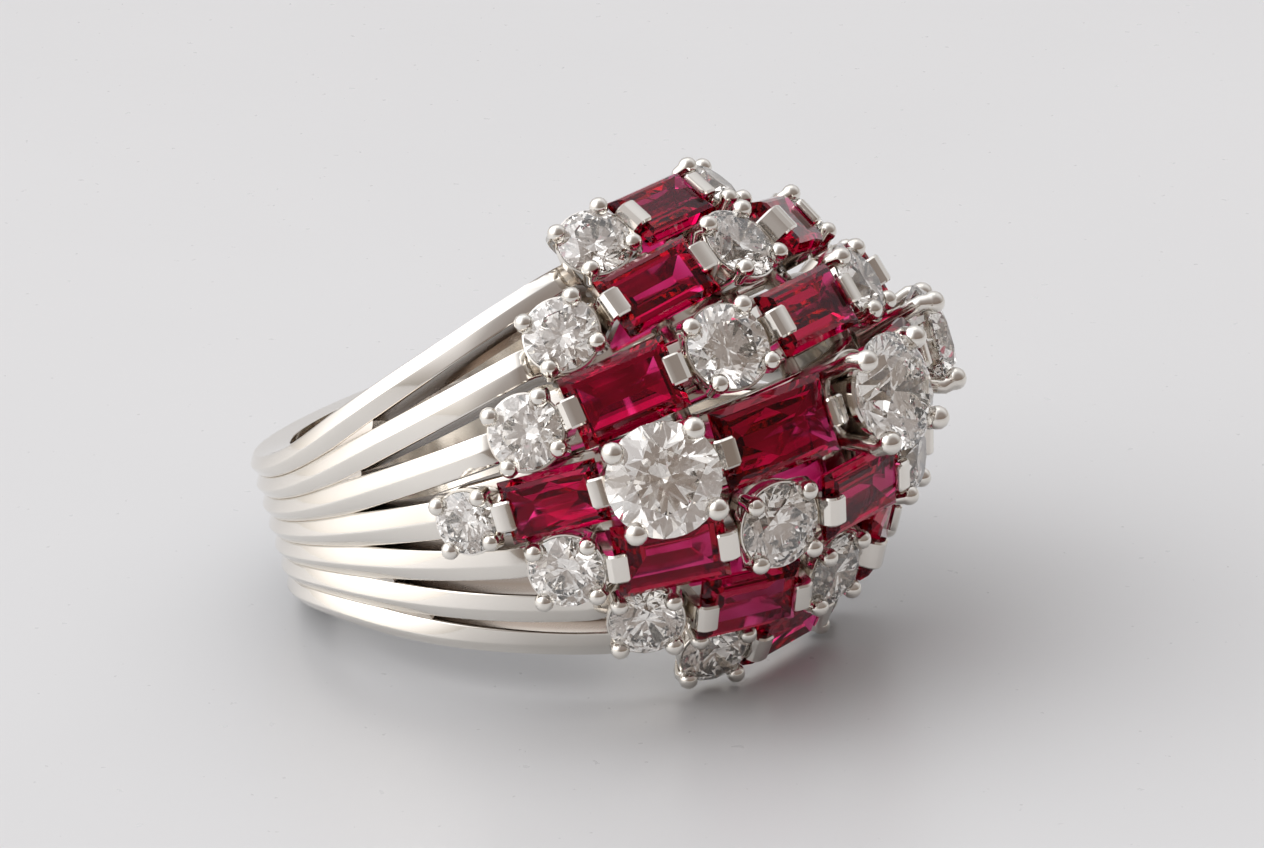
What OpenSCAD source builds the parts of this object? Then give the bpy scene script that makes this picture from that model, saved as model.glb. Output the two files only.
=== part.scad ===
// Bombe cocktail ring, lying on its side as it rests on a table.
// Seven hoops are soldered side by side behind the finger and fan out over a hollow dome,
// where each carries one row of a checkerboard of round diamonds and step-cut rubies.
// Ring frame: Y is the finger's axis, +Z runs from the finger to the top of the dome.

/* [Finger hole] */
// Diameter of the finger hole
bore_d = 16.5; // [16:0.1:17.5]
// Thickness of the band behind the finger
band_t = 1.6; // [1.4:0.1:2]

/* [Dome] */
// Half width of the dome, across the finger
dome_w = 11.24; // [11:0.1:12]
// Half length of the dome, along the finger
dome_l = 9.08; // [9:0.1:9.6]
// Half height of the dome
dome_h = 12.68; // [12.4:0.1:13.5]
// Height of the dome's centre above the finger's axis
dome_up = 2.2; // [2:0.1:2.6]
// Share of the dome's slope that the outer rows lean by
lean = 0.62; // [0.5:0.01:0.7]

/* [Hoops] */
// Spacing of the hoops behind the finger
pitch_back = 0.7; // [0.65:0.01:0.75]
// Growth of the spacing with height towards the dome
pitch_growth = 0.146; // [0.13:0.001:0.15]
// Width of a hoop just before its first stone
hoop_w = 1.15; // [1:0.05:1.2]
// Width of a hoop beneath its stones
rail_w = 2.4; // [2:0.1:2.5]
// Depth of a hoop's ridge under the girdle level, before its first stone
ridge_sink = 0.85; // [0.7:0.05:1]
// Depth of a hoop's top under the girdle level, beneath its stones
rail_sink = 1.45; // [1.4:0.05:1.5]
// Depth of a hoop's underside below the girdle level
rail_floor = 2.35; // [2.3:0.05:2.5]

/* [Settings] */
// Height that every diamond stands above the rubies' level
diamond_lift = 0.24; // [0.2:0.02:0.3]
// Extra height of the large diamonds of the middle row
proud_lift = 1.7; // [1.5:0.1:1.8]
// Extra height of the large diamond on the far side, which stands lower
far_proud_lift = 0.85; // [0.8:0.05:1.2]
// Thickness of a claw's folded tab
tab_t = 0.28; // [0.2:0.02:0.35]
// Width of a ruby's claw
tab_w = 1.05; // [0.8:0.05:1.1]
// Diameter of the bars that link neighbouring hoops
bar_d = 0.7; // [0.5:0.1:0.8]

/* [Resting pose] */
// Tilt of the finger's axis when the ring lies on its side
lay_angle = 19.5; // [19:0.1:20]

/* [Hidden] */
$fn = 32;
bore_r = bore_d / 2;
band_r = bore_r + band_t;
sides = 60;
// Free play between parts that must not share material
gap = 0.01;

// One quarter of the stones: for each row, from the middle row outwards, the stones from the
// middle of the dome sideways, as [angle from the top of the dome, length along the row, width].
stones = [
    [[0, 4.1, 4.1], [14.4, 4.6, 2.8], [32, 4, 4], [47, 3.5, 2.2], [61, 2.2, 2.2]],
    [[0, 4.1, 2.4], [16, 3, 3], [32.5, 3.9, 2.6], [48, 2.6, 2.6]],
    [[0, 2.8, 2.8], [19, 3.8, 2.4], [37.5, 2.6, 2.6]],
    [[0, 3.9, 2.2], [21.5, 2.6, 2.6]]
];
rows = [-3:3];
function reach(i) = len(stones[abs(i)]) - 1;
function stone(i, k) = stones[abs(i)][abs(k)];
function is_diamond(i, k) = (abs(i) + abs(k)) % 2 == 0;
function is_proud(i, k) = i == 0 && (k == 0 || abs(k) == 2);
function end_angle(i) = stones[abs(i)][reach(i)][0];

function row_name(i) = str("row_", i + 4);
function hoop_name(i) = str("hoop_", i + 4);
function stone_name(i, k) =
    str(is_diamond(i, k) ? "diamond_" : "ruby_", row_name(i), "_", reach(i) - k + 1);
function collets_name(i) = str("collets_", row_name(i));
claw_groups = [[0], [-1, 1], [-2, 2], [-3, 3]];
claw_names = ["claws_row_4", "claws_rows_3_and_5", "claws_rows_2_and_6", "claws_rows_1_and_7"];

// ---- Vectors ----
function unit(v) = v / norm(v);
function mix(a, b, s) = a * (1 - s) + b * s;
function ease(x) = let (s = min(max(x, 0), 1)) s * s * (3 - 2 * s);
// Point at angle t from the top of the dome, towards -X, at radius r from the finger's axis
function around(t, r, y) = [-r * sin(t), y, r * cos(t)];

// ---- Dome ----
// Radius of the dome at angle t and place y along the finger
function dome_r(t, y) =
    let (k = max(1 - pow(y / dome_l, 2), 0.02))
    let (qa = pow(sin(t) / dome_w, 2) + pow(cos(t) / dome_h, 2))
    let (qb = cos(t) * dome_up / pow(dome_h, 2))
    let (qc = pow(dome_up / dome_h, 2) - k)
    (qb + sqrt(max(qb * qb - qa * qc, 0))) / qa;
// Spacing of the rows at height z above the finger's axis
function pitch(z) =
    let (u = pitch_growth * z + 0.5)
    pitch_back + (u + sqrt(u * u + 0.16)) / 2;
// Place of row i along the finger at angle t, found by settling onto the dome
function row_y(i, t, y = 0, n = 14) =
    n == 0 ? y : row_y(i, t, (y + i * pitch(dome_r(t, y) * cos(t))) / 2, n - 1);
function row_p(i, t) = let (y = row_y(i, t)) around(t, dome_r(t, y), y);
// Lean of row i out of the hoop's plane at angle t
function row_lean(i, t) =
    let (p = row_p(i, t))
    let (n = [p.x / pow(dome_w, 2), p.y / pow(dome_l, 2), (p.z - dome_up) / pow(dome_h, 2)])
    lean * atan2(n.y, norm([n.x, n.z]));
// Outward direction of the dome's slope at angle t, leaned by the row
function row_n(i, t) =
    let (p = row_p(i, t), a = row_lean(i, t))
    let (q = unit([p.x / pow(dome_w, 2), 0, (p.z - dome_up) / pow(dome_h, 2)]))
    cos(a) * q + [0, sin(a), 0];

// ---- Seats: each stone's own frame, X along the row and Z outwards ----
function seat_t(i, k) = sign(k) * stone(i, k)[0];
function seat_lift(i, k) =
    (is_diamond(i, k) ? diamond_lift : 0)
    + (!is_proud(i, k) ? 0 : k < 0 ? far_proud_lift : proud_lift);
function seat_frame(i, k) =
    let (t = seat_t(i, k), n = row_n(i, t))
    let (along = row_p(i, t - 1) - row_p(i, t + 1))
    let (x = unit(along - (along * n) * n), y = cross(n, x))
    let (p = row_p(i, t) + seat_lift(i, k) * n)
    [[x.x, y.x, n.x, p.x], [x.y, y.y, n.y, p.y], [x.z, y.z, n.z, p.z], [0, 0, 0, 1]];
module at_seat(i, k) { multmatrix(seat_frame(i, k)) children(); }
// Turns the ring from its own frame onto its side
module laid() { rotate([0, -lay_angle, 0]) rotate([90, 0, 90]) children(); }
module finger_bore() { rotate([90, 0, 0]) cylinder(r = bore_r, h = 30, center = true, $fn = 96); }

// ---- Hoops ----
// Section: shares of the half width, and of the depth below the ridge, which gables as g goes to 1
function hoop_section(g) = [
    [-1, 1], [-1, 0.1 + 0.28 * g], [-0.8, 0.03 + 0.15 * g], [-0.42, 0.04 * g], [0, 0],
    [0.42, 0.04 * g], [0.8, 0.03 + 0.15 * g], [1, 0.1 + 0.28 * g], [1, 1]
];
// Share of the way from the band's circle to the dome
function rise(t) = ease((125 - t) / 70);
// Place of hoop i along the finger on the band's circle
function band_y(i, t) = i * pitch(band_r * cos(t));
// Width of hoop i at angle t: as wide as the spacing behind the finger, and open slots further on
function rail_width(i) = rail_w - 0.1 * abs(i) - (abs(i) == 3 ? 0.2 : 0);
function neck_width(i) = hoop_w + (i == 0 ? 0.25 : 0) - (abs(i) == 3 ? 0.15 : 0);
function width(i, t) =
    min(
        pitch(band_r * cos(t)),
        lookup(t, [[end_angle(i) - 2, rail_width(i)], [end_angle(i) + 5, neck_width(i)], [95, 1.2]])
    );
function hoop_sink(i, t) =
    abs(i) == 3 ? ridge_sink : mix(rail_sink, ridge_sink, ease((t - end_angle(i)) / 9));
function hoop_ring(i, a) =
    let (t = abs(a), s = rise(t), u = s * row_lean(i, t))
    let (out = cos(u) * around(a, 1, 0) + [0, sin(u), 0])
    let (side = -sin(u) * around(a, 1, 0) + [0, cos(u), 0])
    let (p = row_p(i, a), top = p - hoop_sink(i, t) * (cos(u) * unit([p.x, 0, p.z]) + [0, sin(u), 0]))
    let (ridge = mix(around(a, band_r, band_y(i, t)), top, s))
    let (depth = mix(band_t + 0.1, rail_floor - hoop_sink(i, t), s))
    let (section = hoop_section(mix(1, 0.35, ease((95 - t) / 40))))
    [for (q = section) ridge + side * q[0] * width(i, t) / 2 - out * q[1] * depth];
module hoop_sweep(i) {
    rings = [for (j = [0:sides - 1]) hoop_ring(i, 180 - j * 360 / sides)];
    m = len(rings[0]);
    points = [for (r = rings) for (p = r) p];
    polyhedron(points, [
        for (j = [0:sides - 1], q = [0:m - 1])
            let (a = j * m, b = (j + 1) % sides * m, n = (q + 1) % m)
            each [[a + q, a + n, b + n], [a + q, b + n, b + q]]
    ]);
}
module hoop(i) {
    color("gainsboro") laid() difference() {
        hoop_sweep(i);
        finger_bore();
        for (k = [-reach(i):reach(i)])
            if (is_diamond(i, k)) at_seat(i, k) collet_notch(i, k);
            else at_seat(i, k) ruby_notch(i, k);
        for (j = [i - 1, i])
            if (j >= -3 && j < 3) for (t = bar_angles(j)) bar(j, t);
    }
}
function collet_base(i, k) = seat_lift(i, k) + (abs(i) == 3 ? 1.3 : rail_sink + 0.05);
function claw_base(i) = (abs(i) == 3 ? ridge_sink : rail_sink) + 0.05;
module collet_notch(i, k) {
    r = stone(i, k)[1] / 2;
    translate([0, 0, -collet_base(i, k)])
        cylinder(r1 = foot_r(r) + 0.22, r2 = r + 0.5, h = collet_base(i, k));
}
module ruby_notch(i, k) {
    half = stone(i, k)[1] / 2;
    for (s = [-1, 1]) translate([s * (half + claw_t / 2), 0, 0.5 - claw_base(i)])
        cube([claw_t + 2 * gap, tab_w + 2 * gap, 1], center = true);
    if (abs(i) == 3) ruby_body(half * 2, stone(i, k)[2], 3 * gap);
}

// ---- Bars between neighbouring hoops ----
function bar_angles(j) =
    let (t = min(end_angle(j), end_angle(j + 1)))
    [-t - 3, -t * 0.5, 0, t * 0.5, t + 3];
function rail_middle(i, t) = row_p(i, t) - (abs(i) == 3 ? 1.2 : 1.9) * row_n(i, t);
module bar(j, t) {
    a = rail_middle(j, t);
    b = rail_middle(j + 1, t);
    d = unit(b - a);
    inset = rail_w / 2 - 0.3;
    translate(a + d * inset)
        rotate([0, acos(d.z), atan2(d.y, d.x)])
            cylinder(d = bar_d, h = norm(b - a) - 2 * inset);
}
module bridge_bars() {
    color("lightgray") laid()
        for (j = [-3:2]) for (t = bar_angles(j)) bar(j, t);
}

// ---- Round brilliants ----
function ring_point(r, j, z) = [r * cos(j * 22.5), r * sin(j * 22.5), z];
module brilliant(r) {
    crown = 0.3 * r;
    girdle = 0.04 * r;
    even = [0:2:14];
    odd = [1:2:15];
    points = concat(
        [for (j = even) ring_point(0.57 * r, j, girdle + crown)],
        [for (j = odd) ring_point(0.77 * r, j, girdle + 0.6 * crown)],
        [for (j = [0:15]) ring_point(r, j, girdle)],
        [for (j = [0:15]) ring_point(r, j, -girdle)],
        [for (j = odd) ring_point(0.24 * r, j, -girdle - 0.67 * r)],
        [[0, 0, -girdle - 0.86 * r]]
    );
    function table(j) = (j + 8) % 8;
    function star(j) = 8 + (j + 8) % 8;
    function upper(j) = 16 + (j + 16) % 16;
    function lower(j) = 32 + (j + 16) % 16;
    function under(j) = 48 + (j + 8) % 8;
    culet = 56;
    faces = concat(
        [[for (j = [7:-1:0]) table(j)]],
        [for (j = [0:7]) each [
            [table(j), table(j + 1), star(j)],
            [table(j), star(j), upper(2 * j)],
            [table(j), upper(2 * j), star(j - 1)],
            [star(j), upper(2 * j + 1), upper(2 * j)],
            [star(j), upper(2 * j + 2), upper(2 * j + 1)],
            [under(j), lower(2 * j), lower(2 * j + 1)],
            [under(j), lower(2 * j + 1), lower(2 * j + 2)],
            [culet, lower(2 * j), under(j)],
            [culet, under(j - 1), lower(2 * j)]
        ]],
        [for (j = [0:15]) each [
            [upper(j), upper(j + 1), lower(j + 1)],
            [upper(j), lower(j + 1), lower(j)]
        ]]
    );
    polyhedron(points, faces);
}
module diamond(i, k) {
    color("white") laid() at_seat(i, k) brilliant(stone(i, k)[1] / 2);
}

// ---- Step-cut rubies ----
// Levels as [width taken off each side, height], from the table down to the keel
function ruby_levels(w) = [
    [0.2 * w, 0.42], [0.1 * w, 0.3], [0, 0.08], [0, -0.08],
    [0.14 * w, -0.18 * w], [0.3 * w, -0.31 * w], [0.44 * w, -0.39 * w]
];
module ruby_body(l, w, grow = 0) {
    levels = ruby_levels(w);
    n = len(levels);
    points = [
        for (v = levels) for (c = [[1, 1], [-1, 1], [-1, -1], [1, -1]])
            [c[0] * (l / 2 - v[0] + grow), c[1] * (w / 2 - v[0] + grow), v[1] * (1 + grow)]
    ];
    polyhedron(points, concat(
        [[3, 2, 1, 0], [for (c = [0:3]) (n - 1) * 4 + c]],
        [for (v = [0:n - 2], c = [0:3])
            let (a = v * 4, b = a + 4, d = (c + 1) % 4)
            each [[a + c, a + d, b + d], [a + c, b + d, b + c]]]
    ));
}
module ruby(i, k) {
    color("crimson") laid() at_seat(i, k) ruby_body(stone(i, k)[1], stone(i, k)[2]);
}

// ---- Collets: a seat and four prongs for each diamond ----
function foot_r(r) = 0.5 * r + 0.05;
function prong_r(r) = 0.15 + 0.08 * r;
module collet_outside(i, k) {
    r = stone(i, k)[1] / 2;
    base = collet_base(i, k);
    waist = max(base - 1.7, 0.3);
    rotate_extrude($fn = 48) polygon([
        [0, -base], [foot_r(r), -base], [foot_r(r) + (is_proud(i, k) ? 0.15 : 0.35), -waist - 0.4],
        [r + 0.1, -0.12], [r + 0.1, 0], [0, 0]
    ]);
}
module brilliant_room(r) {
    rotate_extrude($fn = 48) polygon([
        [0, -3.6], [foot_r(r) - 0.2, -3.6], [foot_r(r) - 0.2, -0.45 * r], [r + gap, -0.05 * r],
        [r + gap, 0.05 * r], [0.58 * r, 0.36 * r], [0, 0.36 * r]
    ]);
}
module prong(i, k) {
    r = stone(i, k)[1] / 2;
    w = prong_r(r);
    base = collet_base(i, k);
    rise = base - 0.2;
    spread = r + 0.08 - foot_r(r);
    translate([foot_r(r), 0, -rise])
        rotate([0, atan2(spread, rise), 0])
            cylinder(r = w, h = norm([spread, rise]) + 0.1);
    translate([r + 0.03, 0, 0.15 * r]) sphere(r = w * 1.35);
}
module collet(i, k) {
    difference() {
        union() {
            collet_outside(i, k);
            for (a = [45:90:315]) rotate([0, 0, a]) prong(i, k);
        }
        brilliant_room(stone(i, k)[1] / 2);
    }
}
module collets(i) {
    color("silver") laid() difference() {
        for (k = [-reach(i):reach(i)]) if (is_diamond(i, k)) at_seat(i, k) collet(i, k);
        finger_bore();
    }
}

// ---- Claws: one tab folded over each end of a ruby ----
claw_t = 0.42;
module claw(i, k, s) {
    half = stone(i, k)[1] / 2;
    edge = half - 0.38;
    top = 0.43 + tab_t;
    mirror([s < 0 ? 1 : 0, 0, 0]) rotate([90, 0, 0]) translate([0, 0, -tab_w / 2])
        linear_extrude(tab_w) polygon([
            [half + gap, -claw_base(i)], [half + claw_t, -claw_base(i)], [half + claw_t, top - 0.1],
            [half + claw_t - 0.1, top], [edge + 0.08, top], [edge, top - 0.08],
            [edge, 0.43], [half + gap, 0.43]
        ]);
}
module claws(group) {
    color("silver") laid()
        for (i = group, k = [-reach(i):reach(i)])
            if (!is_diamond(i, k)) for (s = [-1, 1]) difference() {
                at_seat(i, k) claw(i, k, s);
                if (abs(k - s) <= reach(i)) at_seat(i, k - s) collet_outside(i, k - s);
            }
}

for (i = rows) hoop(i);
for (i = rows, k = [-reach(i):reach(i)])
    union() {
        if (is_diamond(i, k)) diamond(i, k);
        else ruby(i, k);
    }
for (i = rows) collets(i);
for (g = [0:3]) claws(claw_groups[g]);
bridge_bars();
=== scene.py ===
# %% [markdown]
# # A bombe cocktail ring in platinum, diamonds and rubies
# The real ring is an assembly. Seven hoops are soldered side by side behind the finger and fan out
# over a hollow dome. Each hoop carries one row of stones: round diamonds in four-prong baskets
# take turns with step-cut rubies held by flat claws, like a checkerboard.
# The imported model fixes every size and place. This notebook makes the finer surfaces on top of it.

import math

import bmesh
import bpy
import numpy as np
from mathutils import Matrix, Vector


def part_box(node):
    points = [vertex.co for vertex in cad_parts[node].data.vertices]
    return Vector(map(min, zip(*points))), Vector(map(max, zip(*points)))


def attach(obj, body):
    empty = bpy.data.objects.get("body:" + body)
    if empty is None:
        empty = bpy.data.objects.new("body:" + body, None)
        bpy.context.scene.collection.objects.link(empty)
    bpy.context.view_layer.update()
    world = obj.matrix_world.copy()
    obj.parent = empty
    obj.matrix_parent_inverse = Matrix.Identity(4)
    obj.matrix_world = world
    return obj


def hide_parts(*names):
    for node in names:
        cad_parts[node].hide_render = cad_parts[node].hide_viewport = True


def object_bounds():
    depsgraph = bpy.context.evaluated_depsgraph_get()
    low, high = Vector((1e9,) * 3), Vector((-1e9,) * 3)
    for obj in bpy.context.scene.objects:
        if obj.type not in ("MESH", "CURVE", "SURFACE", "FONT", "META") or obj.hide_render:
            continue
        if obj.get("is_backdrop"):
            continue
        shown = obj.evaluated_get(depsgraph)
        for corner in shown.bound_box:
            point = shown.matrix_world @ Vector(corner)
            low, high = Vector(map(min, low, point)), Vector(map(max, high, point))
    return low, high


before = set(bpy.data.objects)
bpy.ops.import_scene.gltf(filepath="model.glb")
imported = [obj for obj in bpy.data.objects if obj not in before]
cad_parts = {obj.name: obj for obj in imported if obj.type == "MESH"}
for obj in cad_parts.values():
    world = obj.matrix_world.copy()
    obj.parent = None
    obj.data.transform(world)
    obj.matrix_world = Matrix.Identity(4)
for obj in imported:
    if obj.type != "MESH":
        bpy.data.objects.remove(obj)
cad_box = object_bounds()
MM = 0.001
print("CAD box in mm:", [round(v / MM, 2) for corner in cad_box for v in corner])
print("CAD nodes to stand for:", len(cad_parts))

# %% [markdown]
# ## The ring's own axes
# A goldsmith thinks of a ring standing on its finger hole: Y runs along the finger and Z points
# from the finger to the top of the dome. The frame holds the ring lying on its side, leaning until
# its back edge and its lowest prongs touch the table. All shapes below are worked out in
# millimetres on the ring's own axes, and one function lays them down.

# %% From the ring's axes to the frame
LAY_ANGLE = 19.5
BORE_R = 8.25
BAND_R = BORE_R + 1.6


def sin(degrees):
    return math.sin(math.radians(degrees))


def cos(degrees):
    return math.cos(math.radians(degrees))


def unit(v):
    return v / np.linalg.norm(v)


def mix(a, b, share):
    return a * (1 - share) + b * share


def ease(x):
    x = min(max(x, 0.0), 1.0)
    return x * x * (3 - 2 * x)


def bearing(azimuth, elevation):
    """Unit vector of the frame: azimuth 0 is the front, -Y, and 90 is the jewelled side, +X."""
    return Vector((sin(azimuth) * cos(elevation), -cos(azimuth) * cos(elevation), sin(elevation)))


def lay_down(points):
    """Points on the ring's axes in mm become points of the frame in metres."""
    x, y, z = np.asarray(points, float).T
    c, s = cos(LAY_ANGLE), sin(LAY_ANGLE)
    return np.column_stack([z * c - y * s, x, z * s + y * c]) * MM


print("Top of a plain band would lie at", lay_down([[0, 0, BAND_R]])[0] / MM)

# %% [markdown]
# ## The dome
# The stones sit on a bombe dome, an ellipsoid that is taller than it is long. Rows are spaced along
# the finger by a pitch that grows with height, so the hoops fan out from a narrow back. Every row
# leans outwards by a share of the dome's own slope. The same few rules shaped the CAD parts, so a
# surface made from them fits its part without any adjustment by eye.

# %% The dome's surface and its rows
DOME_W, DOME_L, DOME_H, DOME_UP = 11.24, 9.08, 12.68, 2.2
LEAN, PITCH_BACK, PITCH_GROWTH = 0.62, 0.7, 0.146


def around(t, r, y):
    """The point at angle t from the top of the dome and radius r from the finger's axis."""
    return np.array([-r * sin(t), y, r * cos(t)])


def dome_r(t, y):
    k = max(1 - (y / DOME_L) ** 2, 0.02)
    qa = (sin(t) / DOME_W) ** 2 + (cos(t) / DOME_H) ** 2
    qb = cos(t) * DOME_UP / DOME_H**2
    qc = (DOME_UP / DOME_H) ** 2 - k
    return (qb + math.sqrt(max(qb * qb - qa * qc, 0))) / qa


def pitch(z):
    u = PITCH_GROWTH * z + 0.5
    return PITCH_BACK + (u + math.sqrt(u * u + 0.16)) / 2


def row_point(i, t):
    y = 0.0
    for _ in range(14):
        y = (y + i * pitch(dome_r(t, y) * cos(t))) / 2
    return around(t, dome_r(t, y), y)


def slope(p):
    return np.array([p[0] / DOME_W**2, p[1] / DOME_L**2, (p[2] - DOME_UP) / DOME_H**2])


def row_lean(i, t):
    n = slope(row_point(i, t))
    return LEAN * math.degrees(math.atan2(n[1], math.hypot(n[0], n[2])))


def row_outwards(i, t):
    n, a = slope(row_point(i, t)), row_lean(i, t)
    return cos(a) * unit(n * [1, 0, 1]) + np.array([0, sin(a), 0])


print("Row spacing behind the finger", round(pitch(-BAND_R), 2), "and on the dome", round(pitch(14), 2))

# %% [markdown]
# ## The stone plan
# The dome is the same on all four sides, so one quarter of the stones says it all: for each row,
# from the middle row outwards, each stone's angle from the top, its length along the row and its
# width. Where row and place add up to an even number there is a round diamond, elsewhere a ruby.
# A seat is a stone's own little set of axes: X along the row, Z outwards.

# %% Stones and their seats
QUARTER = [
    [(0, 4.1, 4.1), (14.4, 4.6, 2.8), (32, 4, 4), (47, 3.5, 2.2), (61, 2.2, 2.2)],
    [(0, 4.1, 2.4), (16, 3, 3), (32.5, 3.9, 2.6), (48, 2.6, 2.6)],
    [(0, 2.8, 2.8), (19, 3.8, 2.4), (37.5, 2.6, 2.6)],
    [(0, 3.9, 2.2), (21.5, 2.6, 2.6)],
]
OUTER = 3
ROWS = range(-OUTER, OUTER + 1)
DIAMOND_LIFT, PROUD_LIFT, FAR_PROUD_LIFT = 0.24, 1.7, 0.85
RAIL_TOP, OUTER_RAIL_TOP = 1.5, 1.3  # depths of the rails' tops under the rubies' girdles


def reach(i):
    return len(QUARTER[abs(i)]) - 1


def end_angle(i):
    return QUARTER[abs(i)][-1][0]


class Seat:
    """Place k of row i, counted from the middle of the dome towards the near side."""

    def __init__(self, i, k):
        self.i, self.k = i, k
        angle, self.length, self.width = QUARTER[abs(i)][abs(k)]
        self.r = self.length / 2
        self.diamond = (abs(i) + abs(k)) % 2 == 0
        self.proud = i == 0 and abs(k) in (0, 2)
        self.lift = DIAMOND_LIFT * self.diamond + (FAR_PROUD_LIFT if k < 0 else PROUD_LIFT) * self.proud
        self.base = self.lift + (OUTER_RAIL_TOP if abs(i) == OUTER else RAIL_TOP)
        kind = "diamond" if self.diamond else "ruby"
        self.node = f"{kind}_row_{i + 4}_{reach(i) - k + 1}"
        t = math.copysign(angle, k)
        z = row_outwards(i, t)
        x = row_point(i, t - 1) - row_point(i, t + 1)
        x = unit(x - x.dot(z) * z)
        self.axes = np.array([x, np.cross(z, x), z])
        self.origin = row_point(i, t) + self.lift * z

    def place(self, points):
        return self.origin + np.asarray(points, float) @ self.axes

    def local(self, points):
        return (points - self.origin) @ self.axes.T


SEATS = {(i, k): Seat(i, k) for i in ROWS for k in range(-reach(i), reach(i) + 1)}
worst = 0
for seat in SEATS.values():
    lo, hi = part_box(seat.node)
    middle = seat.place([[0, 0, -0.3 * seat.r if seat.diamond else -0.3]])
    worst = max(worst, (Vector(lay_down(middle)[0]) - (lo + hi) / 2).length / MM)
print(len(SEATS), "seats, farthest stone from its CAD part:", round(worst, 2), "mm")

# %% [markdown]
# ## How every metal piece is made
# Nearly everything on a ring is a loft: a section carried along a path. A wire, a prong, a claw
# and a hoop differ only in their sections, so one loft function serves them all, open with two end
# faces or closed on itself. A skin collects many lofts into one mesh, with a value at each point
# for painted shade and roughness: 0 where the metal is bright and smooth, 1 deep between the hoops.

# %% Lofts, skins and pieces
def loft(rings, closed=False):
    """Joins rings of equally many points with four-sided faces."""
    count, size = len(rings), len(rings[0])
    faces = []
    for a in range(count if closed else count - 1):
        b = (a + 1) % count
        for p in range(size):
            q = (p + 1) % size
            faces.append((a * size + p, a * size + q, b * size + q, b * size + p))
    if not closed:
        faces += [tuple(range(size))[::-1], tuple(range((count - 1) * size, count * size))]
    return np.concatenate(rings), faces


# Each point of a skin carries a value of painted shade and roughness.
class Skin:
    def __init__(self):
        self.points, self.faces, self.dull, self.size = [], [], [], 0

    def add(self, points, faces, dull=0.0):
        self.faces += [tuple(p + self.size for p in face) for face in faces]
        self.points.append(points)
        self.dull.append(np.zeros(len(points)) + dull)
        self.size += len(points)


def make_piece(name, skin, material, stands_for, crease=40):
    """One mesh object from a skin, riding on the ring in place of its CAD parts."""
    mesh = bpy.data.meshes.new(name)
    mesh.from_pydata(lay_down(np.concatenate(skin.points)).tolist(), [], skin.faces)
    # This attribute carries painted shade, which darkens the colour, and extra roughness.
    mesh.attributes.new("dull", "FLOAT", "POINT").data.foreach_set("value", np.concatenate(skin.dull))
    bm = bmesh.new()
    bm.from_mesh(mesh)
    bmesh.ops.recalc_face_normals(bm, faces=bm.faces)
    bm.to_mesh(mesh)
    bm.free()
    if crease:
        mesh.shade_smooth()
        mesh.set_sharp_from_angle(angle=math.radians(crease))
    mesh.materials.append(material)
    piece = bpy.data.objects.new(name, mesh)
    bpy.context.collection.objects.link(piece)
    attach(piece, "root")
    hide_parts(*stands_for)
    return piece


print("A loft of two triangles has", len(loft([np.eye(3), np.eye(3) + 1])[1]), "faces")

# %% [markdown]
# ## Writing materials as sums
# Shader nodes are easier to read as formulas. A Wire holds one output socket and knows how to be
# added, multiplied and so on, so that `0.1 + 0.2 * grain` makes its own Math nodes. Every other
# node comes from one method: its type, its settings, then what goes into its sockets.

# %% Wires and recipes
class Wire:
    """One output socket, ready for sums."""

    def __init__(self, recipe, socket):
        self.recipe, self.socket = recipe, socket

    def sum(self, operation, a, b):
        return self.recipe.node("ShaderNodeMath", {"operation": operation}, {0: a, 1: b})

    def __add__(self, other):
        return self.sum("ADD", self, other)

    def __sub__(self, other):
        return self.sum("SUBTRACT", self, other)

    def __rsub__(self, other):
        return self.sum("SUBTRACT", other, self)

    def __mul__(self, other):
        return self.sum("MULTIPLY", self, other)

    def __pow__(self, other):
        return self.sum("POWER", self, other)

    __radd__, __rmul__ = __add__, __mul__


class Recipe:
    """A node tree that is written step by step."""

    def __init__(self, owner):
        owner.use_nodes = True
        self.tree = owner.node_tree
        self.tree.nodes.clear()

    def node(self, kind, settings={}, inputs={}, output=0):
        made = self.tree.nodes.new(kind)
        for key, value in settings.items():
            if key == "stops":
                for _ in value[2:]:
                    made.color_ramp.elements.new(0.5)
                for stop, (place, colour) in zip(made.color_ramp.elements, value):
                    stop.position, stop.color = place, colour
            else:
                setattr(made, key, value)
        for key, value in inputs.items():
            if isinstance(value, Wire):
                self.tree.links.new(value.socket, made.inputs[key])
            else:
                made.inputs[key].default_value = value
        return Wire(self, made.outputs[output]) if made.outputs else None

    def colours(self, share, a, b):
        return self.node("ShaderNodeMix", {"data_type": "RGBA"}, {0: share, 6: a, 7: b}, 2)

    def grain(self, scale, detail=3.0, stretch=(1, 1, 1)):
        """Soft noise with a given number of grains to the metre."""
        place = self.node("ShaderNodeTexCoord", output="Object")
        place = self.node("ShaderNodeVectorMath", {"operation": "MULTIPLY"}, {0: place, 1: stretch})
        return self.node("ShaderNodeTexNoise", {}, {"Vector": place, "Scale": scale, "Detail": detail})

    def finish(self, constants, links, inside={}):
        shader = self.node("ShaderNodeBsdfPrincipled", {}, {**constants, **links})
        self.node("ShaderNodeOutputMaterial", {}, {"Surface": shader, **inside})


def new_finish(name):
    material = bpy.data.materials.new(name)
    return material, Recipe(material)
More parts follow.
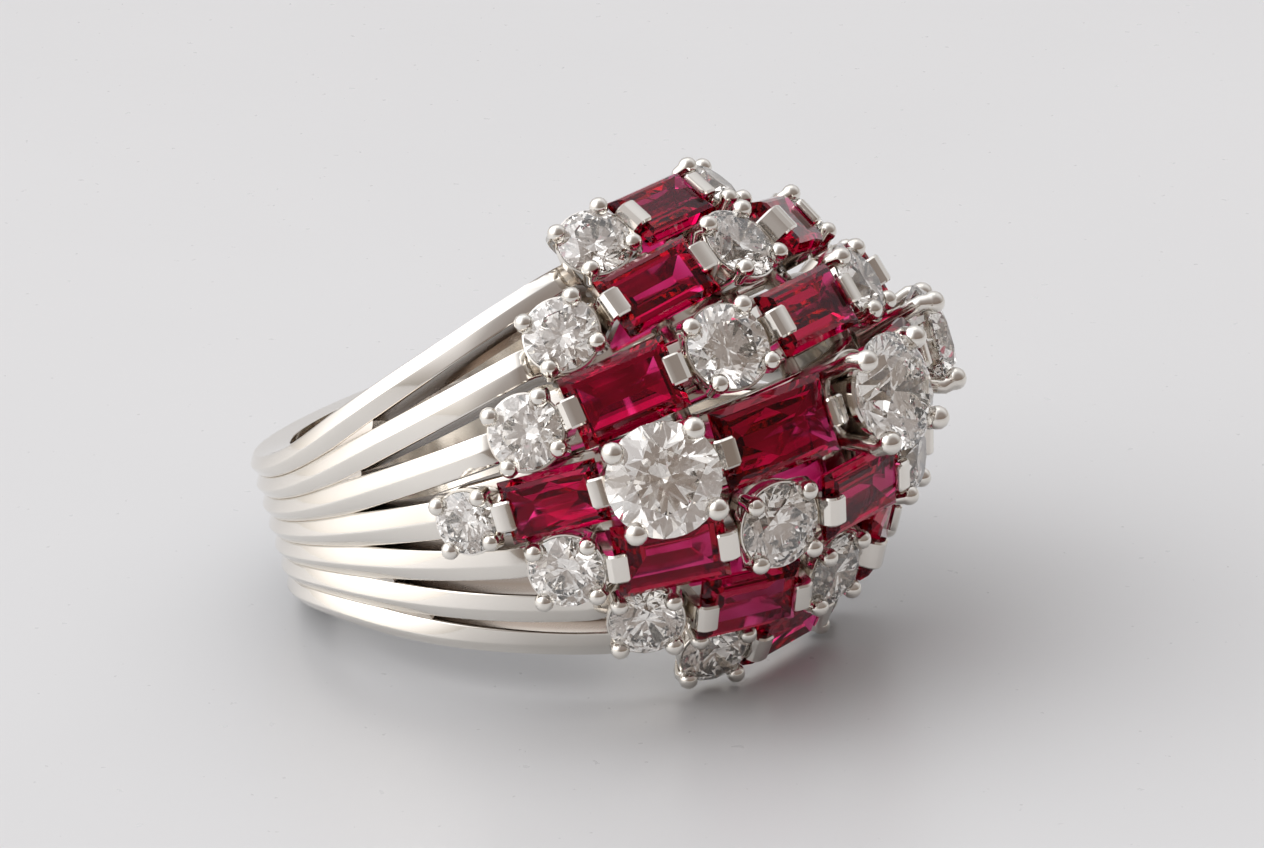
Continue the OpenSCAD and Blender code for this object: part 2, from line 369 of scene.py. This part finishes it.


# %% [markdown]
# ## Polished platinum
# Platinum is a warm, slightly grey white. On a worn ring it isn't a perfect mirror: the wheel
# leaves soft waves, and wear adds hairlines and tiny dents, so the roughness wanders a little. The
# wheel can't reach between the hoops or into the baskets, so the metal is rougher there, and
# painted shade darkens its colour to brown there. Waves and hairlines are far too fine for
# geometry, so they are bump.

# %% The platinum finish
platinum, recipe = new_finish("polished_platinum")
# Painted shade and roughness, read from the mesh.
dull = recipe.node("ShaderNodeAttribute", {"attribute_name": "dull"}, output="Fac")
waves = recipe.grain(420, 2.0)
hairlines = recipe.grain(9000, 3.0, (1, 0.08, 1))
specks = recipe.grain(2600, 5.0)
bright = recipe.colours(waves, (0.78, 0.745, 0.69, 1), (0.87, 0.84, 0.79, 1))
# Painted shade: a high value darkens the colour to brown.
colour = recipe.colours(dull * 0.9, bright, (0.27, 0.20, 0.15, 1))
roughness = 0.055 + 0.05 * waves + 0.07 * hairlines * specks + 0.2 * dull
relief = waves + 0.05 * hairlines + 0.06 * specks
bump = recipe.node(
    "ShaderNodeBump", {}, {"Height": relief, "Strength": 0.3, "Distance": 0.000012}
)
recipe.finish(
    {"Metallic": 1.0, "IOR": 2.0},
    {"Base Color": colour, "Roughness": roughness, "Normal": bump},
)
print("Platinum is made of", len(platinum.node_tree.nodes), "nodes")

# %% [markdown]
# ## Diamond and ruby
# A gem is clear glass with a strong bend of light, and the look comes from its facets. So both are
# full transmission with the real index: 2.42 for diamond and 1.77 for ruby. Diamond gets a trace
# of cloud and a faint warm tint. Ruby's red comes from inside: light is absorbed on its way
# through, so long paths turn dark and short ones flash pink. Ruby also grows in bands, so its
# surface tint is drawn as straight zones that are crossed by fine silk. A dim specular tint keeps
# the white mirror image of the room from washing out the red.

# %% The two gem finishes
diamond, recipe = new_finish("white_diamond")
cloud = recipe.grain(900, 4.0)
recipe.finish(
    {"IOR": 2.42, "Transmission Weight": 1.0},
    {
        "Base Color": recipe.colours(cloud, (1.0, 0.965, 0.90, 1), (0.98, 0.97, 0.95, 1)),
        "Roughness": 0.01 * cloud,
    },
)

ruby, recipe = new_finish("pigeon_blood_ruby")
spot = recipe.node("ShaderNodeTexCoord", output="Object")
zones = recipe.node(
    "ShaderNodeTexWave",
    {"bands_direction": "DIAGONAL"},
    {"Vector": spot, "Scale": 260.0, "Distortion": 1.5, "Detail": 2.0},
    1,
)
silk = recipe.grain(5000, 4.0, (1, 1, 0.1))
depths = {"Color": (0.88, 0.05, 0.56, 1), "Density": 1750.0}
recipe.finish(
    {"IOR": 1.77, "Transmission Weight": 1.0, "Specular Tint": (0.45, 0.22, 0.28, 1)},
    {
        "Base Color": recipe.colours(zones, (0.82, 0.15, 0.40, 1), (0.97, 0.26, 0.57, 1)),
        "Roughness": 0.015 * silk,
    },
    {"Volume": recipe.node("ShaderNodeVolumeAbsorption", {}, depths)},
)
print("Gems:", diamond.name, ruby.name)

# %% [markdown]
# ## The hoops
# Each hoop is one tall bar bent round the finger. Its top is gabled: two faintly rounded facets
# meet in a soft ridge and end in crisp lower edges, above straight side walls. Behind the finger
# the hoops touch. Further on each keeps its width while they part, so slots open between them, and
# under the stones each widens into a flat rail. One section, swept round with a changing width,
# height and lean, gives all of that with real edges.

# %% The outline of a hoop
def gable(share, half, steep):
    """Drop of a facet below the ridge, at a share of the half width."""
    soft = math.hypot(share, 0.03) - 0.03
    return steep * half * (0.72 * soft + 0.28 * soft**2)


def hoop_outline(half, steep, depth):
    """Points (across, down, painted shade and roughness) round one hoop."""
    facet = (0.03, 0.07, 0.15, 0.3, 0.45, 0.6, 0.75, 0.86, 0.91)
    side = [(u, gable(u, half, steep), 0.0) for u in facet]
    edge = gable(1.0, half, steep)
    side += [(0.97, edge + 0.01, 0.0), (1.0, edge + 0.06, 0.15)]  # bevelled edge
    # The third value paints shade on the side walls and the foot, darkest halfway down the wall.
    side += [(1.0, edge + 0.1, 0.6), (1.0, edge + 0.3, 0.85), (1.0, mix(edge, depth, 0.55), 1.0)]  # wall
    side += [(1.0, depth - 0.12, 0.8), (0.93, depth - 0.02, 0.3)]  # rounded foot
    side += [(0.85, depth, 0.1), (0.4, depth, 0.0)]  # underside
    right = [(u * half, down, dull) for u, down, dull in side]
    return [(0.0, 0.0, 0.0)] + right + [(-u, down, dull) for u, down, dull in right[::-1]]


print("A hoop's outline has", len(hoop_outline(0.6, 0.5, 1.7)), "points")

# %% How a hoop changes on its way round
HOOP_W, RAIL_W = 1.15, 2.4
RIDGE_SINK, RAIL_SINK, OUTER_RAIL_SINK, RAIL_FLOOR = 0.85, 1.45, 1.02, 2.35


def rise(t):
    return ease((125 - t) / 70)


def band_y(i, t):
    return i * pitch(BAND_R * cos(t))


def hoop_width(i, t):
    outer = abs(i) == OUTER
    rail = RAIL_W - 0.1 * abs(i) - 0.2 * outer
    neck = HOOP_W + 0.25 * (i == 0) - 0.15 * outer
    end = end_angle(i)
    shaped = np.interp(t, [end - 2, end + 5, max(95, end + 6)], [rail, neck, 1.2])
    return min(pitch(BAND_R * cos(t)), shaped)


def hoop_sink(i, t):
    under = RAIL_SINK if abs(i) < OUTER else OUTER_RAIL_SINK
    return mix(under, RIDGE_SINK, ease((t - end_angle(i)) / 9))


def hoop_spine(i, a):
    """Ridge, sideways and outward directions, and depth of hoop i at signed angle a."""
    t = abs(a)
    s = rise(t)
    lean = s * row_lean(i, t)
    outward = cos(lean) * around(a, 1, 0) + np.array([0, sin(lean), 0])
    sideways = -sin(lean) * around(a, 1, 0) + np.array([0, cos(lean), 0])
    p = row_point(i, a)
    top = p - hoop_sink(i, t) * (cos(lean) * unit(p * [1, 0, 1]) + np.array([0, sin(lean), 0]))
    ridge = mix(around(a, BAND_R, band_y(i, t)), top, s)
    return ridge, sideways, outward, mix(BAND_R - BORE_R + 0.1, RAIL_FLOOR - hoop_sink(i, t), s)


def clear_of_finger(points):
    """Nothing reaches into the finger hole: points inside it move out to its wall."""
    r = np.maximum(np.hypot(points[:, 0], points[:, 2]), 1e-6)
    points = points.copy()
    points[:, [0, 2]] *= np.maximum(1, BORE_R / r)[:, None]
    return points


def hoop_steepness(t):
    return 0.62 * mix(1, 0.35, ease((95 - t) / 40))


# %% Sweep the seven hoops
HOOP_STEPS = 240
for i in ROWS:
    rings, painted_shade_and_rough_values = [], []
    for step in range(HOOP_STEPS):
        a = 180 - step * 360 / HOOP_STEPS
        ridge, sideways, outward, depth = hoop_spine(i, a)
        outline = hoop_outline(hoop_width(i, abs(a)) / 2, hoop_steepness(abs(a)), depth)
        ring = [ridge + across * sideways - down * outward for across, down, _ in outline]
        rings.append(clear_of_finger(np.array(ring)))
        # Painted shade on the walls only where the hoops have parted, fading out behind the finger.
        painted_shade_and_rough_values += [dull * ease((128 - abs(a)) / 25) for _, _, dull in outline]
    skin = Skin()
    skin.add(*loft(rings, closed=True), np.array(painted_shade_and_rough_values))
    make_piece(f"hoop_{i + 4}_polished", skin, platinum, [f"hoop_{i + 4}"], 32)
print("Seven hoops of", HOOP_STEPS, "steps each")

# %% [markdown]
# ## Solder between the hoops
# Where two hoops begin to part, solder fills the narrow V between them. It starts as nothing near
# the back, widens with the gap and stops in a small square end where the open slot begins. The
# slots near the middle of the ring begin further back than the outer ones.

# %% Fill the seams
SLOT_START = {0: 97, 1: 86, 2: 81}
GAPS = range(-OUTER, OUTER)
skin = Skin()
for j in GAPS:
    for side in (-1, 1):
        start = SLOT_START[j if j >= 0 else -j - 1]
        rings = []
        for t in np.linspace(start, 126, 16):
            sink = mix(0.3, 0.5, (t - start) / (126 - start))
            left, right = hoop_spine(j, side * t), hoop_spine(j + 1, side * t)
            a = left[0] + left[1] * hoop_width(j, t) * 0.42 - left[2] * sink
            b = right[0] - right[1] * hoop_width(j + 1, t) * 0.42 - right[2] * sink
            deep = left[3] * 0.8
            mid = (a + b) / 2 - left[2] * 0.05
            rings.append(clear_of_finger(np.array([a, mid, b, b - deep * right[2], a - deep * left[2]])))
        # The solder gets painted shade and roughness of 0.35.
        skin.add(*loft(rings), 0.35)
make_piece("solder_seams", skin, platinum, ["hoop_3", "hoop_4", "hoop_5"])
print("Solder fills", 2 * len(GAPS), "seams")

# %% [markdown]
# ## Baskets for the diamonds
# A basket is a small cup on the rail, a seat ring just under the stone's girdle, and four wires
# that run up past both and end in round beads over the stone's edge. Between cup and seat the
# basket is open, so light reaches the stone from the side. Cup and seat are turned profiles, and
# each wire is a loft whose thickness swells at its tip into the bead.

# %% Turned profiles and prongs
def turned(profile, steps=40):
    """A closed profile of (radius, height) points, turned round the seat's axis."""
    angles = np.radians(np.arange(steps) * 360 / steps)
    r, z = np.array(profile, float).T
    rings = [np.column_stack([r * math.cos(a), r * math.sin(a), z]) for a in angles]
    return loft(rings, closed=True)


def wire(path, radii, sides=14):
    """A round wire in the seat's XZ plane."""
    path = np.array(path, float)
    ahead = np.gradient(path, axis=0)
    angles = np.radians(np.arange(sides) * 360 / sides)
    rings = []
    for p, d, r in zip(path, ahead, radii):
        d = d / np.hypot(*d)
        across = np.array([d[1], 0, -d[0]])
        centre, up = np.array([p[0], 0, p[1]]), np.array([0, 1, 0])
        rings.append(np.array([centre + r * (across * math.cos(a) + up * math.sin(a)) for a in angles]))
    return loft(rings)


def spin(points, degrees):
    c, s = cos(degrees), sin(degrees)
    return points @ np.array([[c, s, 0], [-s, c, 0], [0, 0, 1]])


BEAD_SWELL, BEAD_LEAN = 1.35, 20


def foot_r(r):
    return 0.5 * r + 0.05


def prong_r(r):
    return 0.15 + 0.08 * r


def prong(seat):
    r, base = seat.r, seat.base
    w = prong_r(r)
    bead = BEAD_SWELL * w
    foot, shoulder = foot_r(r) + 0.12, r + 0.1
    path = [(foot, -base + 0.1), (mix(foot, shoulder, 0.45), -base * 0.6), (shoulder - 0.02, -0.35)]
    radii = [0.8 * w, 0.85 * w, 0.95 * w]
    centre = np.array([r + 0.02, 0.16 * r])
    up = np.array([-sin(BEAD_LEAN), cos(BEAD_LEAN)])
    path += [tuple(centre - up * bead * 1.15)]
    radii += [0.95 * w]
    for b in (-42, -25, -5, 15, 35, 52, 66, 78, 86):
        path.append(tuple(centre + up * bead * sin(b)))
        radii.append(bead * cos(b))
    return wire(path, radii)


beads = {round(2 * BEAD_SWELL * prong_r(s.r), 2) for s in SEATS.values() if s.diamond}
print("Beads are", sorted(beads), "mm across")

# %% Build the baskets, row by row
def basket(seat):
    """Points and faces of the cup, the seat ring and the prongs, on the seat's axes."""
    r, base, foot = seat.r, seat.base, foot_r(seat.r)
    window = -0.4 * base
    low = -0.5 * base
    slope_in = (r - foot) / base
    cup_top = foot + 0.3 + slope_in * (base + low) * 0.6
    cup = [(foot, -base), (foot + 0.24, -base), (cup_top, low), (cup_top - 0.05, low + 0.05)]
    cup += [(cup_top - 0.2, low + 0.04), (foot - 0.02, -base + 0.35)]
    rim = [(r + 0.09, -0.12), (r + 0.07, -0.06), (r + 0.01, -0.05), (r - 0.3, -0.34)]
    rim += [(r - 0.26, window - 0.02), (r - 0.12, window - 0.05), (r - 0.02, window)]
    if seat.proud:
        rim = [(r - 0.62, -0.62), (r - 0.55, -0.7), (r - 0.62, -0.98), (r - 0.8, -1.0), (r - 0.82, -0.8)]
    yield turned(cup)
    yield turned(rim)
    points, faces = prong(seat)
    for quarter in (45, 135, 225, 315):
        yield spin(points, quarter), faces


for i in ROWS:
    skin = Skin()
    for k in range(-reach(i), reach(i) + 1):
        seat = SEATS[i, k]
        if seat.diamond:
            for points, faces in basket(seat):
                # Painted shade and roughness grow towards the foot of the basket, under the stone.
                depth = np.clip(-points[:, 2] / seat.base, 0, 1) ** 1.5
                skin.add(clear_of_finger(seat.place(points)), faces, 0.9 * depth)
    make_piece(f"baskets_row_{i + 4}", skin, platinum, [f"collets_row_{i + 4}"], 45)
print("Baskets stand on", len(ROWS), "rows")

# %% [markdown]
# ## Claws for the rubies
# A ruby is held by a flat claw at each end: a strip of plate that stands against the stone and
# folds over its edge in a square tab. The tab's rim is filed to a bright bevel. It is a loft of a
# flat section with cut corners, carried up the stone's end wall and over the fold. Where a round
# stone is close, the strip is hollowed to clear it, as a setter would file it.

# %% Bend and fit the claws
TAB_W, TAB_T = 1.05, 0.28


def strip_section(width, thick, bevel):
    """Outline of the plate: (across, through) points."""
    a, b = width / 2, thick / 2
    face = [-0.6 * a, -0.2 * a, 0.2 * a, 0.6 * a]
    outer = [(-a + bevel, b)] + [(x, b) for x in face] + [(a - bevel, b), (a, b - bevel)]
    inner = [(a, -b + 0.02), (a - 0.02, -b)] + [(x, -b) for x in face[::-1]]
    inner += [(-a + 0.02, -b), (-a, -b + 0.02)]
    return outer + inner + [(-a, b - bevel)]


def claw(seat, end):
    half, base = seat.length / 2, RAIL_TOP - 0.6 * (abs(seat.i) == OUTER)
    top = 0.43 + TAB_T / 2
    stations = [  # along the row, height, fold in degrees, thickness, rim taken off
        (half + 0.21, -base, 0, 0.4, 0.0),
        (half + 0.21, -0.5, 0, 0.4, 0.0),
        (half + 0.21, 0.3, 0, 0.4, 0.0),
        (half + 0.19, 0.44, 30, 0.36, 0.0),
        (half + 0.12, 0.53, 65, 0.31, 0.0),
        (half + 0.02, top, 87, TAB_T, 0.0),
        (half - 0.3, top, 90, TAB_T, 0.0),
        (half - 0.37, top - 0.01, 90, TAB_T - 0.04, 0.04),
        (half - 0.4, top - 0.03, 90, TAB_T - 0.16, 0.09),
    ]
    rings = []
    for x, z, fold, thick, off in stations:
        centre, out = np.array([x, 0, z]), np.array([cos(fold), 0, sin(fold)])
        section = strip_section(TAB_W - 2 * off, thick, 0.07)
        ring = [centre + out * b + np.array([0, a, 0]) for a, b in section]
        rings.append(np.array(ring) * [end, 1, 1])
    return loft(rings)


def keep_clear(points, stone):
    """Points that would lie inside a round stone move out to its edge."""
    local = stone.local(points)
    r = np.maximum(np.hypot(local[:, 0], local[:, 1]), 1e-6)
    level = (local[:, 2] > -1.0) & (local[:, 2] < 0.4 * stone.r)
    push = np.where(level & (r < stone.r + 0.03), (stone.r + 0.03) / r, 1)
    local[:, :2] *= push[:, None]
    return stone.place(local)


CLAW_GROUPS = {
    "claws_row_4": [0], "claws_rows_3_and_5": [-1, 1],
    "claws_rows_2_and_6": [-2, 2], "claws_rows_1_and_7": [-3, 3],
}
for group, rows in CLAW_GROUPS.items():
    skin = Skin()
    for seat in [s for s in SEATS.values() if s.i in rows and not s.diamond]:
        for end in (-1, 1):
            points, faces = claw(seat, end)
            # Painted shade and roughness grow down the strip, towards the rail below the stone.
            depth = np.clip(-points[:, 2] / RAIL_TOP, 0, 1)
            placed = seat.place(points)
            for neighbour in (SEATS.get((seat.i, seat.k - end)), SEATS.get((seat.i, seat.k + end))):
                if neighbour:
                    placed = keep_clear(placed, neighbour)
            skin.add(placed, faces, depth)
    make_piece(f"{group}_folded", skin, platinum, [group], 25)
print(len(CLAW_GROUPS), "groups of claws")

# %% [markdown]
# ## Bars under the stones
# Short posts link each rail to the next and keep the dome stiff. Solder creeps up at both ends of
# a post, so each is a loft of rings that flare where they meet the rails.

# %% Link the rails
def bar_angles(j):
    t = min(end_angle(j), end_angle(j + 1))
    return [-t - 3, -t * 0.5, 0, t * 0.5, t + 3]


def rail_middle(i, t):
    return row_point(i, t) - (1.2 if abs(i) == OUTER else 1.9) * row_outwards(i, t)


skin = Skin()
for j in GAPS:
    for t in bar_angles(j):
        a, b = rail_middle(j, t), rail_middle(j + 1, t)
        d = unit(b - a)
        u = unit(np.cross(d, [1, 0.3, 0.2]))
        v = np.cross(d, u)
        inset = (RAIL_W / 2 - 0.3) / np.linalg.norm(b - a)
        rings = []
        for share, r in ((0, 0.5), (0.1, 0.4), (0.25, 0.35), (0.75, 0.35), (0.9, 0.4), (1, 0.5)):
            centre = mix(a, b, mix(inset, 1 - inset, share))
            rings.append(np.array([centre + 0.97 * r * (u * cos(q) + v * sin(q)) for q in range(0, 360, 24)]))
        # The bars under the stones get strong painted shade and roughness, 0.8.
        skin.add(clear_of_finger(np.concatenate(rings)), loft(rings)[1], 0.8)
make_piece("bridge_bars_soldered", skin, platinum, ["bridge_bars"])
print("Linked the rails with", sum(len(bar_angles(j)) for j in GAPS), "bars")

# %% [markdown]
# ## Round brilliants
# A brilliant has one table, eight stars, eight kites and sixteen upper halves above its girdle,
# and eight mains with sixteen lower halves below. The facets are flat planes, so the corners are
# worked out from two angles: 34 degrees above the girdle and 41 below, which is what throws the
# light back up. Where the planes cut the round girdle they leave its fine scallops.

# %% Cut the diamonds
def ring_corner(r, step, z):
    return [r * cos(step * 11.25), r * sin(step * 11.25), z]


def brilliant(r):
    """Points and faces of a round brilliant of radius r."""
    girdle, crown, pavilion = 0.03 * r, math.tan(math.radians(34)), math.tan(math.radians(41))
    table_r, star_r, lower_r = 0.56 * r, 0.76 * r, 0.24 * r
    star_z = girdle + (r - star_r * cos(22.5)) * crown
    lower_z = -girdle - (r - lower_r * cos(22.5)) * pavilion
    points = [ring_corner(table_r, 4 * j, girdle + (r - table_r) * crown) for j in range(8)]
    points += [ring_corner(star_r, 4 * j + 2, star_z) for j in range(8)]
    for inner_r, inner_z, level in ((star_r, star_z, girdle), (lower_r, lower_z, -girdle)):
        for step in range(32):
            along = cos(11.25)
            steep = (inner_z - level) / (r * along - inner_r * along)
            z = level if step % 2 == 0 else level - steep * r * (1 - along)
            points.append(ring_corner(r, step, z))
    points += [ring_corner(lower_r, 4 * j + 2, lower_z) for j in range(8)]
    points.append([0, 0, -girdle - r * pavilion])
    table, star, lower = (lambda j: j % 8), (lambda j: 8 + j % 8), (lambda j: 80 + j % 8)
    upper, under = (lambda step: 16 + step % 32), (lambda step: 48 + step % 32)
    faces = [tuple(range(8))]
    for j in range(8):
        a = 4 * j
        faces += [
            (table(j), star(j), table(j + 1)),
            (table(j), star(j - 1), upper(a), star(j)),
            (star(j), upper(a), upper(a + 1), upper(a + 2)),
            (star(j), upper(a + 2), upper(a + 3), upper(a + 4)),
            (lower(j), under(a + 2), under(a + 1), under(a)),
            (lower(j), under(a + 4), under(a + 3), under(a + 2)),
            (88, lower(j), under(a), lower(j - 1)),
        ]
    faces += [(upper(s), under(s), under(s + 1), upper(s + 1)) for s in range(32)]
    return np.array(points), faces


for seat in [s for s in SEATS.values() if s.diamond]:
    points, faces = brilliant(seat.r)
    skin = Skin()
    skin.add(seat.place(spin(points, 37 * seat.k + 17 * seat.i)), faces)
    make_piece(f"{seat.node}_cut", skin, diamond, [seat.node], 0)
print("Cut", sum(s.diamond for s in SEATS.values()), "diamonds with", len(faces), "faces each")

# %% [markdown]
# ## Step-cut rubies
# A step cut is a stack of ever smaller rectangles. The crown is low, with a large table, and the
# pavilion goes down in two steps to a keel. The lower step is the flatter one, which makes the
# nested flashes that are typical of the cut. The middle row's stones are scissor cut below: each
# side of the pavilion is split into four triangles, for livelier, broken flashes.

# %% Cut the rubies
def corners(length, width, off, z):
    a, b = length / 2 - off, width / 2 - off
    return np.array([(a, b, z), (-a, b, z), (-a, -b, z), (a, -b, z)])


def crown_levels(width):
    """(Rim taken off, height) of the table, the crown's step and the girdle's two edges."""
    return [(0.15 * width, 0.42), (0.08 * width, 0.33), (0.0, 0.08), (0.0, -0.06)]


def keel_level(width):
    return (0.44 * width, -0.385 * width)


def step_cut(length, width):
    """Rings of four corners, from the table down to the keel."""
    levels = crown_levels(width) + [(0.2 * width, -0.24 * width), keel_level(width)]
    return loft([corners(length, width, off, z) for off, z in levels])


def scissor_cut(length, width):
    """The same crown, over a pavilion whose four sides are each cut in four triangles."""
    levels = crown_levels(width) + [keel_level(width)]
    points, faces = loft([corners(length, width, off, z) for off, z in levels])
    girdle, keel = 12, 16
    sides = [(girdle + c, girdle + (c + 1) % 4, keel + (c + 1) % 4, keel + c) for c in range(4)]
    faces = [face for face in faces if not (min(face) < keel <= max(face))]
    middles = [points[list(side)].mean(axis=0) * [1.06, 1.12, 1.16] for side in sides]
    for c, side in enumerate(sides):
        faces += [(side[e], side[(e + 1) % 4], len(points) + c) for e in range(4)]
    return np.concatenate([points, middles]), faces


for seat in [s for s in SEATS.values() if not s.diamond]:
    points, faces = (scissor_cut if seat.i == 0 else step_cut)(seat.length, seat.width)
    skin = Skin()
    skin.add(seat.place(points), faces)
    make_piece(f"{seat.node}_cut", skin, ruby, [seat.node], 0)
print("Cut", sum(not s.diamond for s in SEATS.values()), "rubies with", len(faces), "faces each")

# %% [markdown]
# ## A pale table top
# The ring lies on a plain, pale, honed stone top. It is nearly matt, with just enough polish to
# catch a soft image of the ring. Faint clouds and pores keep it from looking like paper. It lies
# just under the lowest edge of the metal.

# %% The table top
floor_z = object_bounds()[0].z
stone_top, recipe = new_finish("honed_pale_stone")
clouds = recipe.grain(30, 4.0)
pores = recipe.grain(1800, 4.0)
recipe.finish(
    {"IOR": 1.5},
    {
        "Base Color": recipe.colours(clouds, (0.70, 0.702, 0.707, 1), (0.76, 0.762, 0.765, 1)),
        "Roughness": 0.24 + 0.12 * pores,
        "Normal": recipe.node("ShaderNodeBump", {}, {"Height": pores, "Strength": 0.1, "Distance": 0.00004}),
    },
)
TABLE_HALF, CELLS = 1.6, 8
lines = np.linspace(-TABLE_HALF, TABLE_HALF, CELLS + 1)
grid = [(x, y, floor_z) for y in lines for x in lines]
tiles = [
    (r * (CELLS + 1) + c, r * (CELLS + 1) + c + 1, (r + 1) * (CELLS + 1) + c + 1, (r + 1) * (CELLS + 1) + c)
    for r in range(CELLS) for c in range(CELLS)
]
mesh = bpy.data.meshes.new("table_top")
mesh.from_pydata(grid, [], tiles)
mesh.materials.append(stone_top)
table_top = bpy.data.objects.new("table_top", mesh)
bpy.context.collection.objects.link(table_top)
table_top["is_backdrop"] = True
print("Table top at", round(floor_z / MM, 2), "mm")

# %% [markdown]
# ## Light for jewellery
# Metal and gems show what is around them. A pale room that gets brighter with height gives soft
# whites. A warm, dark side on the right gives edges and facets something to draw with, and keeps
# the rubies deep. A wide, glowing window on the left lights the hoops. Two large soft lamps are
# weak beside it, so they only add a faint shadow.

# %% The room
world = bpy.data.worlds.new("pale_studio")
bpy.context.scene.world = world
recipe = Recipe(world)
direction = recipe.node("ShaderNodeTexCoord", output="Generated")
height = recipe.node("ShaderNodeSeparateXYZ", {}, {0: direction}, 2)
pale = recipe.node(
    "ShaderNodeValToRGB",
    {"stops": [
        (0.0, (0.60, 0.58, 0.56, 1)), (0.5, (0.56, 0.53, 0.50, 1)), (0.62, (0.67, 0.65, 0.645, 1)),
        (0.75, (0.9, 0.9, 0.92, 1)), (0.9, (1.0, 1.0, 1.02, 1)),
    ]},
    {0: 0.5 + 0.5 * height},
)


def soft_patch(azimuth, elevation, outside, inside):
    """0 away from a bearing and 1 at it, with a soft edge between two cosines."""
    centre = bearing(azimuth, elevation)
    near = recipe.node(
        "ShaderNodeVectorMath", {"operation": "DOT_PRODUCT"}, {0: direction, 1: centre}, 1
    )
    stops = [(outside, (0, 0, 0, 1)), (inside, (1, 1, 1, 1))]
    return recipe.node("ShaderNodeValToRGB", {"stops": stops}, {0: near})


room = recipe.colours(soft_patch(72, 22, 0.3, 0.82) * 0.78, pale, (0.18, 0.12, 0.085, 1))
window = soft_patch(310, 24, 0.5, 0.9)
strength = 0.87 + 1.4 * window
glow = recipe.node("ShaderNodeBackground", {}, {"Color": room, "Strength": strength})
recipe.node("ShaderNodeOutputWorld", {}, {"Surface": glow})
print("The room is made of", len(world.node_tree.nodes), "nodes")


# %% Hang the lamps
def soft_light(name, azimuth, elevation, distance, size, power, colour):
    """A round soft lamp that looks at the ring."""
    back = bearing(azimuth, elevation)
    light = bpy.data.lights.new(name, "AREA")
    light.shape, light.size, light.energy, light.color = "DISK", size, power, colour
    lamp = bpy.data.objects.new(name, light)
    lamp.location = back * distance
    lamp.rotation_euler = back.to_track_quat("Z", "Y").to_euler()
    bpy.context.collection.objects.link(lamp)


soft_light("window", 315, 34, 0.6, 0.5, 0.5, (1.0, 0.99, 0.975))
soft_light("ceiling", 225, 66, 0.7, 0.5, 0.25, (1.0, 0.99, 0.985))

# %% [markdown]
# ## The camera
# A long lens near the table looks across the side of the dome. It stands a little to the right of
# the ring's front and a little above it, and is turned by one degree.

# %% Set the camera
AZIMUTH, ELEVATION, ROLL, DISTANCE = 37.83, 21.46, -1.08, 220.05
AIM_RIGHT, AIM_UP = 3.66, 0.81
LENS, SENSOR, NEAREST = 173.6, 36, 0.005
back = bearing(AZIMUTH, ELEVATION)
right = Vector((cos(AZIMUTH), sin(AZIMUTH), 0))
right = right * cos(ROLL) + back.cross(right) * sin(ROLL)
eye = back * DISTANCE
target = right * AIM_RIGHT + back.cross(right) * AIM_UP
z_axis = (eye - target).normalized()
x_axis = (right - z_axis * right.dot(z_axis)).normalized()
y_axis = z_axis.cross(x_axis)
camera = bpy.data.objects.new("camera", bpy.data.cameras.new("camera"))
camera.data.lens, camera.data.sensor_width, camera.data.clip_start = LENS, SENSOR, NEAREST
turn = Matrix((x_axis, y_axis, z_axis)).transposed().to_4x4()
camera.matrix_world = Matrix.Translation(eye * MM) @ turn
bpy.context.collection.objects.link(camera)
bpy.context.scene.camera = camera
print("Camera at", [round(v, 4) for v in eye * MM])

# %% [markdown]
# ## Colours and light paths
# Light bounces many times inside a gem before it comes back out, so the limit for mirror bounces
# is raised, and the plain display curve keeps white metal white.

# %% Display and bounces
scene = bpy.context.scene
scene.view_settings.view_transform = "Standard"
scene.cycles.max_bounces = scene.cycles.glossy_bounces = scene.cycles.transmission_bounces = 16
scene.cycles.caustics_reflective = False
print("Display:", scene.view_settings.view_transform)

# %% The sizes of the CAD box and of the finished scene
sizes = {"cad": [list(v) for v in cad_box], "visual": [list(v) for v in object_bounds()]}
print("Visual box in mm:", [round(v / MM, 2) for corner in sizes["visual"] for v in corner])
